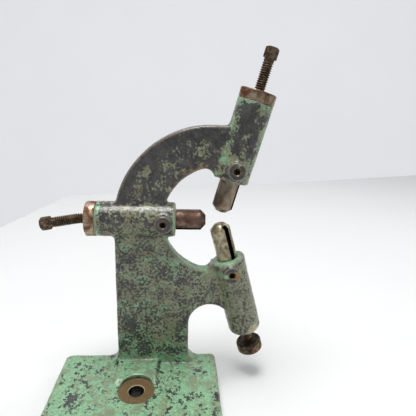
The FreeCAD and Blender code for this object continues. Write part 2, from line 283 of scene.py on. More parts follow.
def ramp_to(tree, value, low, high, start=0.0, end=1.0):
    """Value socket that goes smoothly from start to end as value goes from low to high."""
    return add(tree, "ShaderNodeMapRange", {0: value, 1: low, 2: high, 3: start, 4: end},
               interpolation_type="SMOOTHSTEP").outputs[0]


def soft_cut(tree, value, level, softness):
    """Mask socket: 0 where the value is well below a level, 1 where it is well above."""
    low, high = maths(tree, "SUBTRACT", level, softness), maths(tree, "ADD", level, softness)
    return ramp_to(tree, value, low, high)


def fractal(tree, vector, scale, detail=5.0, roughness=0.6, distortion=0.0):
    """Value socket of cloudy noise."""
    return add(tree, "ShaderNodeTexNoise", {"Vector": vector, "Scale": scale, "Detail": detail,
               "Roughness": roughness, "Distortion": distortion}).outputs[0]


def new_group(name, inputs, outputs):
    """Empty node group with named sockets; returns it, its given sockets and its result sockets."""
    group = bpy.data.node_groups.new(name, "ShaderNodeTree")
    for socket, kind, value in inputs:
        made = group.interface.new_socket(name=socket, in_out="INPUT", socket_type=kind)
        made.default_value = value
    for socket, kind in outputs:
        group.interface.new_socket(name=socket, in_out="OUTPUT", socket_type=kind)
    return group, group.nodes.new("NodeGroupInput").outputs, group.nodes.new("NodeGroupOutput").inputs


FLOAT, COLOUR, VECTOR = "NodeSocketFloat", "NodeSocketColor", "NodeSocketVector"


def speckle_group():
    """Mask of ragged specks: cloudy noise cut at a level, so that Amount of the surface is covered."""
    group, given, result = new_group(
        "ragged_specks",
        [("Vector", VECTOR, (0, 0, 0)), ("Scale", FLOAT, 300.0), ("Amount", FLOAT, 0.5),
         ("Softness", FLOAT, 0.02), ("Raggedness", FLOAT, 0.65)],
        [("Mask", FLOAT)])
    noise = fractal(group, given["Vector"], given["Scale"], 7.0, given["Raggedness"])
    level = maths(group, "MULTIPLY_ADD", given["Amount"], -0.42, 0.71)
    group.links.new(soft_cut(group, noise, level, given["Softness"]), result["Mask"])
    return group


def corrosion_group():
    """Steel's colour and roughness under a thin, cloudy coat of rust and handling stains."""
    group, given, result = new_group(
        "rust_film",
        [("Vector", VECTOR, (0, 0, 0)), ("Steel", COLOUR, (0.4, 0.38, 0.35, 1)),
         ("Rust", COLOUR, (0.13, 0.06, 0.03, 1)), ("Stain", COLOUR, (0.05, 0.035, 0.03, 1)),
         ("Amount", FLOAT, 0.5), ("Stain Amount", FLOAT, 0.3), ("Scale", FLOAT, 220.0),
         ("Bright Rough", FLOAT, 0.28), ("Rust Rough", FLOAT, 0.62)],
        [("Color", COLOUR), ("Roughness", FLOAT), ("Mask", FLOAT)])
    vector, scale = given["Vector"], given["Scale"]
    bright, rusted = given["Bright Rough"], given["Rust Rough"]
    cloud = fractal(group, vector, scale, 6.0, 0.62, 0.3)
    mask = soft_cut(group, cloud, maths(group, "MULTIPLY_ADD", given["Amount"], -0.5, 0.75), 0.13)
    fine = fractal(group, vector, maths(group, "MULTIPLY", scale, 4.5), detail=4.0)
    shade = ramp_to(group, fine, 0.3, 0.7, start=0.7, end=1.25)
    rusty = colour_mix(group, 1.0, given["Rust"], shade, "MULTIPLY")
    colour = colour_mix(group, mask, given["Steel"], rusty)
    broad = fractal(group, vector, maths(group, "MULTIPLY", scale, 0.55), distortion=0.5)
    stain = soft_cut(group, broad, maths(group, "MULTIPLY_ADD", given["Stain Amount"], -0.5, 0.75), 0.1)
    colour = colour_mix(group, stain, colour, given["Stain"])
    rough = maths(group, "MULTIPLY_ADD", mask, maths(group, "SUBTRACT", rusted, bright), bright)
    rough = maths(group, "MULTIPLY_ADD", fine, 0.12, rough)
    for name, socket in (("Color", colour), ("Roughness", rough), ("Mask", mask)):
        group.links.new(socket, result[name])
    return group


SPECKLE = speckle_group()
CORROSION = corrosion_group()


def new_material(name):
    """Empty node material: returns it with its tree, its Principled shader and Object coordinates."""
    material = bpy.data.materials.new(name)
    material.use_nodes = True
    tree = material.node_tree
    shader = tree.nodes["Principled BSDF"]
    vector = tree.nodes.new("ShaderNodeTexCoord").outputs["Object"]
    return material, tree, shader, vector


def attribute(tree, name):
    """Value socket of a piece's own painted attribute."""
    return add(tree, "ShaderNodeAttribute", attribute_name=name).outputs["Fac"]


def specks(tree, vector, scale, amount, softness=0.02, raggedness=0.65):
    """Mask socket of the ragged speckle."""
    inputs = {"Vector": vector, "Scale": scale, "Amount": amount, "Softness": softness,
              "Raggedness": raggedness}
    return add(tree, "ShaderNodeGroup", inputs, node_tree=SPECKLE).outputs["Mask"]


def broken_up(tree, vector, relief, scale, share, low, high):
    """Mask socket of worn ridges or of hollows for painted shade: the relief plus a share of clouds, cut softly.
    """
    clouds = fractal(tree, vector, scale)
    return ramp_to(tree, maths(tree, "MULTIPLY_ADD", clouds, share, relief), low, high)


def bump(tree, shader, height, strength, distance):
    """Bump from a height socket onto the shader's normal."""
    node = add(tree, "ShaderNodeBump", {"Height": height, "Strength": strength, "Distance": distance})
    tree.links.new(node.outputs["Normal"], shader.inputs["Normal"])


# ---- materials -----------------------------------------------------------------------------------
def rgb(red, green, blue):
    """Scene-linear colour of a 0 to 255 display colour."""
    parts = [c / 255.0 for c in (red, green, blue)]
    return tuple(c / 12.92 if c <= 0.04045 else ((c + 0.055) / 1.055) ** 2.4 for c in parts) + (1.0,)


def enamel_colour(tree, vector):
    """Green enamel, dulled to olive where the attribute fresh is low, with faint dirt."""
    clouds = maths(tree, "SUBTRACT", fractal(tree, vector, 150.0), 0.5)
    freshness = maths(tree, "MULTIPLY_ADD", clouds, 2.0, attribute(tree, "fresh"))
    fine = fractal(tree, vector, 700.0, detail=4.0, roughness=0.65)
    olive = colour_mix(tree, ramp_to(tree, fine, 0.35, 0.65), rgb(108, 112, 84), rgb(152, 156, 132))
    green = colour_mix(tree, ramp_to(tree, fine, 0.3, 0.7), rgb(112, 158, 118), rgb(150, 190, 154))
    paint = colour_mix(tree, ramp_to(tree, freshness, 0.2, 0.8), olive, green)
    dirt_and_shade = specks(tree, vector, 100.0, 0.42, softness=0.05, raggedness=0.75)
    return laid_over(tree, paint, dirt_and_shade, 0.6, rgb(118, 112, 86))


def slate_colour(tree, vector):
    """The dark coat under the enamel, with rusty specks."""
    clouds = ramp_to(tree, fractal(tree, vector, 260.0), 0.35, 0.7)
    dark = colour_mix(tree, clouds, rgb(46, 46, 50), rgb(78, 76, 78))
    return laid_over(tree, dark, specks(tree, vector, 900.0, 0.3, softness=0.05), 0.5, rgb(98, 84, 66))


def chipped_mask(tree, vector):
    """Mask of chips: few where the attribute cover is high, and clustered where patchy is high."""
    cluster = maths(tree, "SUBTRACT", fractal(tree, vector, 110.0, detail=6.0, roughness=0.7), 0.5)
    left = maths(tree, "MULTIPLY_ADD", cluster, attribute(tree, "patchy"), attribute(tree, "cover"))
    bare = maths(tree, "SUBTRACT", 1.0, left, clamp=True)
    chips = specks(tree, vector, 600.0, maths(tree, "MULTIPLY_ADD", bare, 1.9, -0.4), 0.012, 0.6)
    return maths(tree, "MULTIPLY", chips, 0.96)


def machined_colour(tree, vector):
    """Rusty cut faces, with a pale painted highlight where the attribute rim marks an edge."""
    turned_face = colour_mix(tree, fractal(tree, vector, 330.0, detail=6.0), rgb(88, 70, 46),
                             rgb(122, 100, 70))
    # Painted highlight: pale edge colour where rim is set.
    return colour_mix(tree, attribute(tree, "rim"), turned_face, rgb(172, 156, 124))


def painted_iron():
    """Old green enamel, chipped down to a dark slate coat. The piece's attributes say how much paint is
    left (cover), how fresh its green is (fresh), how worn its edges are (convex), where its hollows are
    darkened as painted shade (hollow), how uneven its loss is (patchy), where rust has browned it (browned),
    where it is rubbed to cream (cream), and where the iron is machined (machined), gets a painted
    highlight on its edge (rim) or is near-black with painted shade deep in a hole (inside)."""
    material, tree, shader, vector = new_material("painted_iron")
    chips = chipped_mask(tree, vector)
    colour = colour_mix(tree, chips, enamel_colour(tree, vector), slate_colour(tree, vector))
    for name, gain, strength, tint in (("browned", 1.2, 0.8, rgb(146, 112, 66)),
                                       ("cream", 1.5, 0.85, rgb(188, 180, 148))):
        amount = maths(tree, "MULTIPLY", attribute(tree, name), gain)
        stain = specks(tree, vector, 420.0, amount, softness=0.08, raggedness=0.6)
        colour = laid_over(tree, colour, stain, strength, tint)
    worn = broken_up(tree, vector, attribute(tree, "convex"), 420.0, 0.5, 0.7, 1.2)
    colour = laid_over(tree, colour, worn, 0.6, rgb(140, 130, 118))
    # Painted shade: hollows darkened towards a near-black olive; the same mask makes them rougher.
    hollow_shade_mask = broken_up(tree, vector, attribute(tree, "hollow"), 300.0, 0.4, 0.6, 1.1)
    colour = laid_over(tree, colour, hollow_shade_mask, 0.8, rgb(48, 46, 38))
    colour = colour_mix(tree, attribute(tree, "machined"), colour, machined_colour(tree, vector))
    # Painted shade: near-black down in the bolt hole and the lock-screw holes.
    colour = colour_mix(tree, attribute(tree, "painted_hole_shade"), colour, rgb(26, 22, 18))
    tree.links.new(colour, shader.inputs["Base Color"])

    paint_rough = ramp_to(tree, fractal(tree, vector, 500.0), 0.3, 0.7, start=0.22, end=0.38)
    rough = maths(tree, "MULTIPLY_ADD", chips, -0.04, paint_rough)
    rough = maths(tree, "ADD", rough, maths(tree, "MULTIPLY", hollow_shade_mask, 0.2))
    tree.links.new(rough, shader.inputs["Roughness"])
    coat = maths(tree, "MULTIPLY", maths(tree, "SUBTRACT", 1.0, chips), 0.55)
    grain = fractal(tree, vector, 900.0, detail=4.0)
    height = maths(tree, "ADD", coat, maths(tree, "MULTIPLY", grain, 0.35))
    bump(tree, shader, height, strength=0.5, distance=0.00025)
    return material


def rusted_steel(name, steel, rust, stain, amount, stain_amount, scale=220.0, metallic=0.75,
                 bright_rough=0.28):
    """Bare steel under a film of rust, brighter where its edges are rubbed (attribute convex), darkened by
    painted shade in its hollows (hollow) and near-black painted shade where greasy is set."""
    material, tree, shader, vector = new_material(name)
    steel, rust, stain = rgb(*steel), rgb(*rust), rgb(*stain)
    film = add(tree, "ShaderNodeGroup",
               {"Vector": vector, "Steel": steel, "Rust": rust, "Stain": stain, "Amount": amount,
                "Stain Amount": stain_amount, "Scale": scale, "Bright Rough": bright_rough},
               node_tree=CORROSION)
    rubbed = broken_up(tree, vector, attribute(tree, "convex"), 500.0, 0.6, 0.6, 1.2)
    colour = laid_over(tree, film.outputs["Color"], rubbed, 0.8, steel)
    # Painted shade: hollows darkened towards near-black brown.
    dirt_and_shade = ramp_to(tree, attribute(tree, "hollow"), 0.15, 0.75, start=0.0, end=0.85)
    colour = colour_mix(tree, dirt_and_shade, colour, rgb(24, 20, 17))
    # Painted shade: near-black where the keyway and the lower head's underside lie in shade.
    colour = colour_mix(tree, attribute(tree, "painted_shade"), colour, rgb(16, 14, 12))
    tree.links.new(colour, shader.inputs["Base Color"])
    tree.links.new(film.outputs["Roughness"], shader.inputs["Roughness"])
    shader.inputs["Metallic"].default_value = metallic
    grain = fractal(tree, vector, 1100.0, detail=3.0)
    height = maths(tree, "ADD", grain, maths(tree, "MULTIPLY", film.outputs["Mask"], 0.5))
    bump(tree, shader, height, strength=0.25, distance=0.0002)
    return material


# slot: name, then colours of bright steel, rust and stain, then shares of rust and stain, scale of the
# clouds, metallic and roughness of the bright steel
STEELS = {
    "cap_steel": ("rusty_turned_steel", (180, 162, 142), (112, 78, 50), (80, 60, 44),
                  0.5, 0.25, 160.0, 0.85, 0.3),
    "side_jaw_steel": ("browned_steel", (132, 108, 96), (92, 70, 56), (62, 48, 40),
                       0.5, 0.3, 120.0, 0.85, 0.26),
    "upper_jaw_steel": ("stained_steel", (150, 138, 120), (106, 82, 64), (84, 80, 66),
                        0.5, 0.4, 110.0, 0.85, 0.28),
    "lower_jaw_steel": ("worn_grey_steel", (184, 174, 150), (136, 124, 98), (104, 98, 80),
                        0.5, 0.3, 300.0, 0.85, 0.24),
    "screw_steel": ("oily_rusted_thread", (124, 104, 82), (66, 50, 38), (42, 33, 27),
                    0.55, 0.3, 420.0, 0.7, 0.3),
    "round_head_steel": ("dark_worn_head", (140, 118, 88), (82, 64, 48), (44, 36, 32),
                         0.5, 0.35, 300.0, 0.7, 0.34),
    "pin_steel": ("ground_steel", (170, 170, 168), (120, 110, 100), (90, 86, 82), 0.2, 0.1),
    "lock_screw_steel": ("black_oxide", (40, 38, 38), (34, 28, 24), (20, 18, 18), 0.4, 0.3),
    "brass": ("turned_brass", (196, 164, 96), (140, 108, 60), (96, 74, 46), 0.3, 0.2),
}
MATERIALS = {"green_casting": painted_iron()}
MATERIALS.update((slot, rusted_steel(*values)) for slot, values in STEELS.items())


def dress_cad_nodes():
    """Give every CAD node the material of its slot."""
    slot_of = {part["node"]: part["material_slot"] for part in frame["record"]["subparts"]}
    for node, shape in frame["nodes"].items():
        if not shape.material_slots:
            shape.data.materials.append(None)
        for holder in shape.material_slots:
            holder.material = MATERIALS[slot_of[node]]


# ---- convexity -----------------------------------------------------------------------------------
def edge_ends(mesh):
    """The two vertex numbers of every edge."""
    return values_of(mesh.edges, "vertices", 2, np.int64)


def relaxed(points, ends, share, rounds):
    """Points moved, round by round, that share of the way to the mean of their neighbours."""
    count = np.bincount(ends.ravel(), minlength=len(points)).clip(1)[:, None]
    for _ in range(rounds):
        total = np.stack([
            np.bincount(ends[:, 0], points[ends[:, 1], axis], len(points))
            + np.bincount(ends[:, 1], points[ends[:, 0], axis], len(points))
            for axis in range(3)], axis=1)
        points = points + share * (total / count - points)
    return points


def get_points(mesh):
    """Vertex places and vertex normals, one row each."""
    return values_of(mesh.vertices, "co", 3), values_of(mesh.vertices, "normal", 3)


def move_points(mesh, points):
    """Put a mesh's vertices at new places."""
    mesh.vertices.foreach_set("co", points.ravel())
    mesh.update()


def set_values(mesh, name, values, domain="POINT"):
    """Float attribute on a mesh."""
    layer = mesh.attributes.new(name, "FLOAT", domain)
    layer.data.foreach_set("value", np.ascontiguousarray(values, dtype=np.float32))


def mark_relief(mesh, rounds, height):
    """Attributes convex and hollow: how far a vertex stands proud of, or sunk in, its smoothed
    surroundings, as a share of a height."""
    points, normals = get_points(mesh)
    settled = relaxed(points, edge_ends(mesh), 0.5, rounds)
    proud = np.einsum("ij,ij->i", points - settled, normals) / height
    set_values(mesh, "convex", np.clip(proud, 0.0, 1.0))
    set_values(mesh, "hollow", np.clip(-proud, 0.0, 1.0))


# ---- casting -------------------------------------------------------------------------------------
VOXEL = 0.8 * MM
LUMP_HEIGHT = 0.16 * MM
GRAIN_HEIGHT = 0.05 * MM
CASTING_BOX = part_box("frame_casting")
BASE_TOP = SPOT_FLOOR + 0.6 * MM
SPOT_R = 11.1 * MM
BOSS_R = 10.75 * MM
BORE_R = girth("side_jaw", "side") + 0.05 * MM
COUNTERBORE_R = girth("lower_plug", "lower") + 0.05 * MM
BOSS_NEAR = 26.2 * MM
CAP_SEAT = 74.0 * MM
BOSS_FAR = {"side": CAP_SEAT, "upper": CAP_SEAT, "lower": 80.0 * MM}
LOCK_POINT = {name: np.array(JOINTS[name + "_lock_turn"]["pos_m"]) for name in STATIONS}
LOCK_HOLE_R = 1.8 * MM
PAD_FACE = 13.0 * MM
ARCH_DX, ARCH_DZ = -4.4, -1.3  # the arch's own centre, in millimetres from the work centre


def turned(name, corners, out, base, columns=64):
    """Surface turned round an axis from (along, radius, rounding) corners, closed at both ends."""
    profile = rounded_profile(corners, 1.0 * MM)[1:-1]
    return tube_mesh(name, profile[:, 0], np.repeat(profile[:, 1:], columns, axis=1), out, base)


def rod(name, low, high, radius, out, base):
    """Plain rod between two heights."""
    return turned(name, [(low, 0, 0), (low, radius, 0), (high, radius, 0), (high, 0, 0)], out, base)


def evaluated_mesh(piece):
    """The piece's mesh with its modifiers applied, as a mesh of its own."""
    graph = bpy.context.evaluated_depsgraph_get()
    return bpy.data.meshes.new_from_object(piece.evaluated_get(graph), depsgraph=graph)


def casting_plugs():
    """Rods that fill every bore and hole of the casting, so that its skin can be made in one."""
    inset, step_at = 3 * MM, 60 * MM
    inner_r, outer_r, end_r, lock_r = BORE_R + 0.8 * MM, 9.4 * MM, 8.0 * MM, 3.4 * MM
    rods = [rod("plug_bolt", inset, BASE_TOP, BOLT_R + MM, UP, ORIGIN)]
    for name in STATIONS:
        far = BOSS_FAR[name]
        corners = [(BOSS_NEAR, 0, 0), (BOSS_NEAR, inner_r, 0), (step_at, inner_r, 0), (step_at, outer_r, 0),
                   (far - inset, outer_r, 0), (far, end_r, 0), (far, 0, 0)]
        rods.append(turned("plug_" + name, corners, OUT[name], CENTRE))
        rods.append(rod("plug_lock_" + name, inset, PAD_FACE, lock_r, FORWARD, LOCK_POINT[name]))
    return rods


def casting_cutters():
    """Closed surfaces of everything machined into the casting: bolt hole with its spot-face, jaw bores
    with their counterbores, lock-screw holes with their countersinks."""
    chamfer, above_spot = 0.45 * MM, SPOT_FLOOR + 12 * MM
    bolt = [(-MM, 0, 0), (-MM, BOLT_R, 0), (SPOT_FLOOR - chamfer, BOLT_R, 0),
            (SPOT_FLOOR, BOLT_R + chamfer, 0), (SPOT_FLOOR, SPOT_R, 0), (above_spot, SPOT_R, 0),
            (above_spot, 0, 0)]
    mouth, beyond = BOSS_NEAR - 2 * MM, 82.0 * MM
    step_at = span("lower_plug", "lower")[0]
    bore = [(mouth, 0, 0), (mouth, BORE_R + 2.3 * MM, 0), (BOSS_NEAR + 0.3 * MM, BORE_R, 0),
            (step_at, BORE_R, 0), (step_at, COUNTERBORE_R, 0), (beyond, COUNTERBORE_R, 0), (beyond, 0, 0)]
    sunk_r, outside = LOCK_HOLE_R + MM, PAD_FACE + 2 * MM
    lock = [(0, 0, 0), (0, LOCK_HOLE_R, 0), (PAD_FACE - 0.6 * MM, LOCK_HOLE_R, 0),
            (PAD_FACE + 0.4 * MM, sunk_r, 0), (outside, sunk_r, 0), (outside, 0, 0)]
    cutters = [turned("cut_bolt", bolt, UP, ORIGIN, 96)]
    for name in STATIONS:
        cutters.append(turned("cut_bore_" + name, bore, OUT[name], CENTRE, 96))
        cutters.append(turned("cut_lock_" + name, lock, FORWARD, LOCK_POINT[name], 48))
    return cutters


def join_meshes(name, meshes):
    """One mesh from several, each one's vertex numbers moved on past those before it."""
    corners = [get_points(mesh)[0] for mesh in meshes]
    shifts = np.cumsum([0] + [len(points) for points in corners[:-1]])
    loops = [values_of(mesh.loops, "vertex_index", kind=np.int64) + shift
             for mesh, shift in zip(meshes, shifts)]
    sizes = [values_of(mesh.polygons, "loop_total", kind=np.int64) for mesh in meshes]
    return build_mesh(name, *(np.concatenate(rows) for rows in (corners, loops, sizes)))


def merged_copy(node):
    """A CAD node's mesh with its doubled vertices merged: equal places, rounded to a micron, become one."""
    mesh = frame["nodes"][node].data
    points = vertices_of(node)
    rounded = np.round(points / (0.001 * MM)).astype(np.int64)
    _, first, back = np.unique(rounded, axis=0, return_index=True, return_inverse=True)
    triangles = back.ravel()[values_of(mesh.loops, "vertex_index", kind=np.int64)].reshape(-1, 3)
    real = (triangles != np.roll(triangles, 1, axis=1)).all(axis=1)
    return mesh_from_faces(node + "_copy", points[first], [triangles[real]])


def cast_skin():
    """The casting's outside without its holes: the CAD shape and the plugs made one skin of even
    little faces, relaxed so that edges and blends are soft as in sand, then swollen and sunk by lumps.
    The underside stays flat."""
    solid = stand("casting_solid", join_meshes("casting_solid",
                                               [merged_copy("frame_casting")] + casting_plugs()))
    remesh = solid.modifiers.new("even_skin", "REMESH")
    remesh.mode = "VOXEL"
    remesh.voxel_size = VOXEL
    skin = evaluated_mesh(solid)
    bpy.data.objects.remove(solid)
    points, ends = get_points(skin)[0], edge_ends(skin)
    for share in (0.5, -0.5) * 5:
        points = relaxed(points, ends, share, 1)
    move_points(skin, points)
    points, normals = get_points(skin)
    height = (LUMP_HEIGHT * (lumps(points, 11 * MM, 3) + 0.6 * lumps(points, 5 * MM, 7))
              + GRAIN_HEIGHT * (lumps(points, 2.2 * MM, 11) + lumps(points, 1.2 * MM, 13)))
    off_underside = fade(0.3 * MM, 1.0 * MM, BASE_TOP * 0.1 - points[:, 2])
    points = points + normals * (height * off_underside)[:, None]
    move_points(skin, np.clip(points, *(np.array(corner) for corner in CASTING_BOX)))
    return skin


def machined_casting():
    """The skin with its bores, holes and spot-face cut into it."""
    blank = stand("casting_blank", cast_skin())
    cutters = [stand(mesh.name, mesh) for mesh in casting_cutters()]
    for cutter in cutters:
        cut = blank.modifiers.new("cut", "BOOLEAN")
        cut.operation = "DIFFERENCE"
        cut.solver = "EXACT"
        cut.object = cutter
    mesh = evaluated_mesh(blank)
    for spent in cutters + [blank]:
        bpy.data.objects.remove(spent)
    mesh.name = "casting"
    return mesh


def near_axis(points, base, axis):
    """Distance along an axis and distance from it, for each point."""
    arm = points - base
    along = arm @ axis
    return along, np.linalg.norm(arm - along[:, None] * axis, axis=1)


def mark_machining(mesh):
    """Face attributes: machined on cut faces, rim for a painted highlight on the edges of the bolt hole and its
    spot-face, inside for near-black painted shade down in the bolt hole and the lock-screw holes."""
    centres = values_of(mesh.polygons, "center", 3)
    along, away = near_axis(centres, ORIGIN, UP)
    off_ground = along > 0.05 * MM
    cut = (away < SPOT_R - 0.05 * MM) & (along < SPOT_FLOOR + 0.2 * MM) & off_ground
    deep = (away < BOLT_R + 0.1 * MM) & off_ground
    # rim marks a painted highlight: the bolt hole's chamfer and the spot-face's outer edge.
    rim = (away > BOLT_R + 0.1 * MM) & (away < BOLT_R + 0.8 * MM)
    rim |= (away > SPOT_R - 0.4 * MM) & (away < SPOT_R + 0.1 * MM)
    rim &= along < BASE_TOP
    for name in STATIONS:
        along, away = near_axis(centres, CENTRE, OUT[name])
        cut |= (away < COUNTERBORE_R + 0.02 * MM) & (along > BOSS_NEAR + 0.3 * MM)
        along, away = near_axis(centres, LOCK_POINT[name], FORWARD)
        in_pad = along > 5 * MM
        cut |= (away < LOCK_HOLE_R + 0.75 * MM) & in_pad
        deep |= (away < LOCK_HOLE_R + 0.1 * MM) & in_pad
    for label, faces in (("machined", cut), ("rim", rim), ("painted_hole_shade", deep)):
        set_values(mesh, label, faces, "FACE")


# share of paint left and freshness of its green, region by region, each laid over those before it
PAINT = {"body": (0.54, 0.33), "arch": (0.42, 0.02), "arch_rim": (0.08, 0.1), "foot": (0.52, 0.72),
         "heel": (0.7, 1.1), "base": (0.68, 0.8), "side_boss": (0.52, 0.12), "upper_boss": (0.34, 0.2),
         "lower_boss": (0.6, 0.05), "bore_rim": (0.85, 0.75), "upper_boss_root": (0.6, 0.15),
         "upper_boss_sides": (0.62, 0.45), "boss_end": (0.66, 0.8), "lock_pad": (0.2, 0.1),
         "saddle": (0.95, 0.7)}
PATCHINESS = {"body": 0.9, "arch": 1.1, "base": 1.0}


def paint_regions(points):
    """Each painted region's name and mask in turn. Heights and widths x and z are in millimetres from the
    work centre; a boss's are metres along and away from its own axis."""
    x, _, z = (points - CENTRE).T / MM
    arch = smooth_step(4.0, 12.0, z)
    yield "arch", arch
    from_arch_centre = np.hypot(x - ARCH_DX, z - ARCH_DZ)
    yield "arch_rim", arch * smooth_step(50.0, 56.0, from_arch_centre) * smooth_step(0.0, 8.0, -x)
    yield "foot", fade(-92.0, -70.0, z)
    yield "heel", fade(-99.0, -90.0, z)
    yield "base", fade(-98.5, -97.5, z)
    for name in STATIONS:
        along, away = near_axis(points, CENTRE, OUT[name])
        boss = fade(10.6 * MM, 12.4 * MM, away) * smooth_step(24 * MM, 26 * MM, along)
        yield name + "_boss", boss
        yield "bore_rim", boss * fade(BOSS_NEAR + 0.8 * MM, BOSS_NEAR + 2.2 * MM, along)
        if name == "upper":
            yield "upper_boss_root", boss * fade(38 * MM, 50 * MM, along)
            aside = np.abs((points - CENTRE) @ np.cross(OUT[name], FORWARD)) / MM
            yield "upper_boss_sides", boss * smooth_step(4.0, 9.0, aside)
        if name != "lower":
            yield "boss_end", boss * smooth_step(CAP_SEAT - 5 * MM, CAP_SEAT - MM, along)
        along, away = near_axis(points, LOCK_POINT[name], FORWARD)
        yield "lock_pad", fade(5.4 * MM, 6.2 * MM, away) * smooth_step(10.8 * MM, 12.0 * MM, along)
    throat = np.hypot(x, z)
    yield "saddle", fade(34.3, 35.2, throat) * smooth_step(31.0, 33.0, throat) * smooth_step(6.0, 12.0, -z)


def paint_casting(mesh):
    """Attributes of the enamel: cover where paint is left, fresh where it is still bright, patchy where
    its loss is uneven."""
    points = get_points(mesh)[0]
    cover, fresh = (np.full(len(points), value) for value in PAINT["body"])
    patchy = np.full(len(points), PATCHINESS["body"])
    for region, where in paint_regions(points):
        cover += (PAINT[region][0] - cover) * where
        fresh += (PAINT[region][1] - fresh) * where
        patchy += PATCHINESS.get(region, 0.0) * where
    set_values(mesh, "cover", cover)
    set_values(mesh, "fresh", fresh)
    set_values(mesh, "patchy", patchy)


def stain_casting(mesh):
    """Attributes browned, on the brow over the throat, round each lock screw and beside the lower one,
    and cream, rubbed into the front of the lower boss's end."""
    points = get_points(mesh)[0]
    x, _, z = (points - CENTRE).T / MM
    bearing, throat = np.degrees(np.arctan2(-x, z)), np.hypot(x, z)
    brow = smooth_step(8.0, 16.0, bearing) * fade(38.0, 56.0, bearing) * fade(35.5, 39.0, throat)
    browned = brow * 0.45
    for name in STATIONS:
        along, away = near_axis(points, LOCK_POINT[name], FORWARD)
        ring = 0.3 * fade(2.6 * MM, 3.6 * MM, away) * smooth_step(12.0 * MM, 12.8 * MM, along)
        browned = np.maximum(browned, ring)
    right_of_lock = LOCK_POINT["lower"] + FORWARD * PAD_FACE + np.array([3.4, 0.0, -0.2]) * MM
    beside = fade(2.2 * MM, 3.6 * MM, np.linalg.norm(points - right_of_lock, axis=1))
    set_values(mesh, "browned", np.maximum(browned, beside))
    rubbed_side = (FORWARD * 0.87 + np.array([0.49, 0.0, 0.14])) * BOSS_R
    spot = CENTRE + OUT["lower"] * (BOSS_FAR["lower"] - 3.0 * MM) + rubbed_side
    from_spot = np.linalg.norm(points - spot, axis=1)
    set_values(mesh, "cream", 0.62 * fade(2.0 * MM, 6.0 * MM, from_spot))


def make_casting():
    """The frame casting, with its relief, machining, paint and stains."""
    mesh = machined_casting()
    mark_relief(mesh, 8, 0.3 * MM)
    mark_machining(mesh)
    paint_casting(mesh)
    stain_casting(mesh)
    mesh.materials.clear()
    place("casting", mesh, "frame", "green_casting", "frame_casting")
    mesh.set_sharp_from_angle(angle=math.radians(38))


# ---- end caps ------------------------------------------------------------------------------------
SCREW_HOLE_R = 3.22 * MM
TOOL_MARK = 0.012 * MM
TOOL_FEED = 0.42 * MM


def make_cap(name):
    """Turned steel cap: flange with softened rims, faint tool marks and dents, a spigot into the boss and
    a hole for the screw; radius = profile radius plus ring marks plus lumps."""
    near, far = span(name + "_cap", name)
    cap_r, spigot_r, in_hole = girth(name + "_cap", name), COUNTERBORE_R - 0.05 * MM, far - 2 * MM
    profile = rounded_profile([(in_hole, SCREW_HOLE_R, 0), (near, SCREW_HOLE_R, 0.2 * MM),
                               (near, spigot_r, 0.3 * MM), (CAP_SEAT, spigot_r, 0),
                               (CAP_SEAT, cap_r, 0.35 * MM), (far, cap_r, 0.55 * MM),
                               (far, SCREW_HOLE_R, 0.3 * MM), (in_hole, SCREW_HOLE_R, 0)], 0.35 * MM)
    along, columns = profile[:, 0], 128
    radius = np.repeat(profile[:, 1:], columns, axis=1)
    outer = smooth_step(spigot_r + MM, cap_r, radius)
    marks = TOOL_MARK * np.sin(along / TOOL_FEED * 2 * np.pi)[:, None]
    angle = even_angles(columns)
    sample = np.stack(np.broadcast_arrays(10 * MM * np.cos(angle), 10 * MM * np.sin(angle),
                                          along[:, None]), axis=-1)
    dents = 0.07 * MM * (lumps(sample.reshape(-1, 3), 3.5 * MM, 21).reshape(radius.shape) - 0.6)
    radius = radius + outer * (marks - TOOL_MARK + np.minimum(dents, 0.0))
    points = round_points(along, radius, OUT[name], CENTRE)[:-1]
    rings = np.arange(len(points) * columns).reshape(-1, columns)
    mesh = mesh_from_faces(name + "_cap_ring", points.reshape(-1, 3),
                           [quads_between(rings, np.roll(rings, -1, axis=0))])
    mark_relief(mesh, 6, 0.12 * MM)
    place(name + "_cap_ring", mesh, "frame", "cap_steel", name + "_cap")


# ---- jaws ----------------------------------------------------------------------------------------
KEYWAY_HALF = 3.175 / 2 * MM
KEYWAY_FLOOR = 4.15 * MM


def turned_forward(side, degrees):
    """A direction across a jaw, turned towards the front."""
    return side * math.cos(math.radians(degrees)) + FORWARD * math.sin(math.radians(degrees))


KEY_SIDE = {"side": turned_forward(np.array([0.0, 0.0, -1.0]), 36.0),
            "upper": turned_forward(np.array([OUT["upper"][2], 0.0, -OUT["upper"][0]]), 28.0),
            "lower": turned_forward(np.array([-OUT["lower"][2], 0.0, OUT["lower"][0]]), 55.0)}


def keyed_section(jaw_r, columns=150):
    """Outline of a round bar with a keyway, as points (towards the key, across): most of them round the
    bar from one lip of the keyway to the other, the rest down one wall, over the floor and up the other."""
    lip = math.asin(KEYWAY_HALF / jaw_r)
    angle = np.linspace(lip, 2 * np.pi - lip, columns)
    bar = np.stack([jaw_r * np.cos(angle), jaw_r * np.sin(angle)], axis=1)
    depth = np.linspace(jaw_r * math.cos(lip), KEYWAY_FLOOR, 9)[1:]
    wall = np.stack([depth, np.full(len(depth), -KEYWAY_HALF)], axis=1)
    floor = np.stack([np.full(7, KEYWAY_FLOOR), np.linspace(-KEYWAY_HALF, KEYWAY_HALF, 9)[1:-1]], axis=1)
    other = wall[::-1] * np.array([1.0, -1.0])
    return np.concatenate([bar, wall, floor, other])


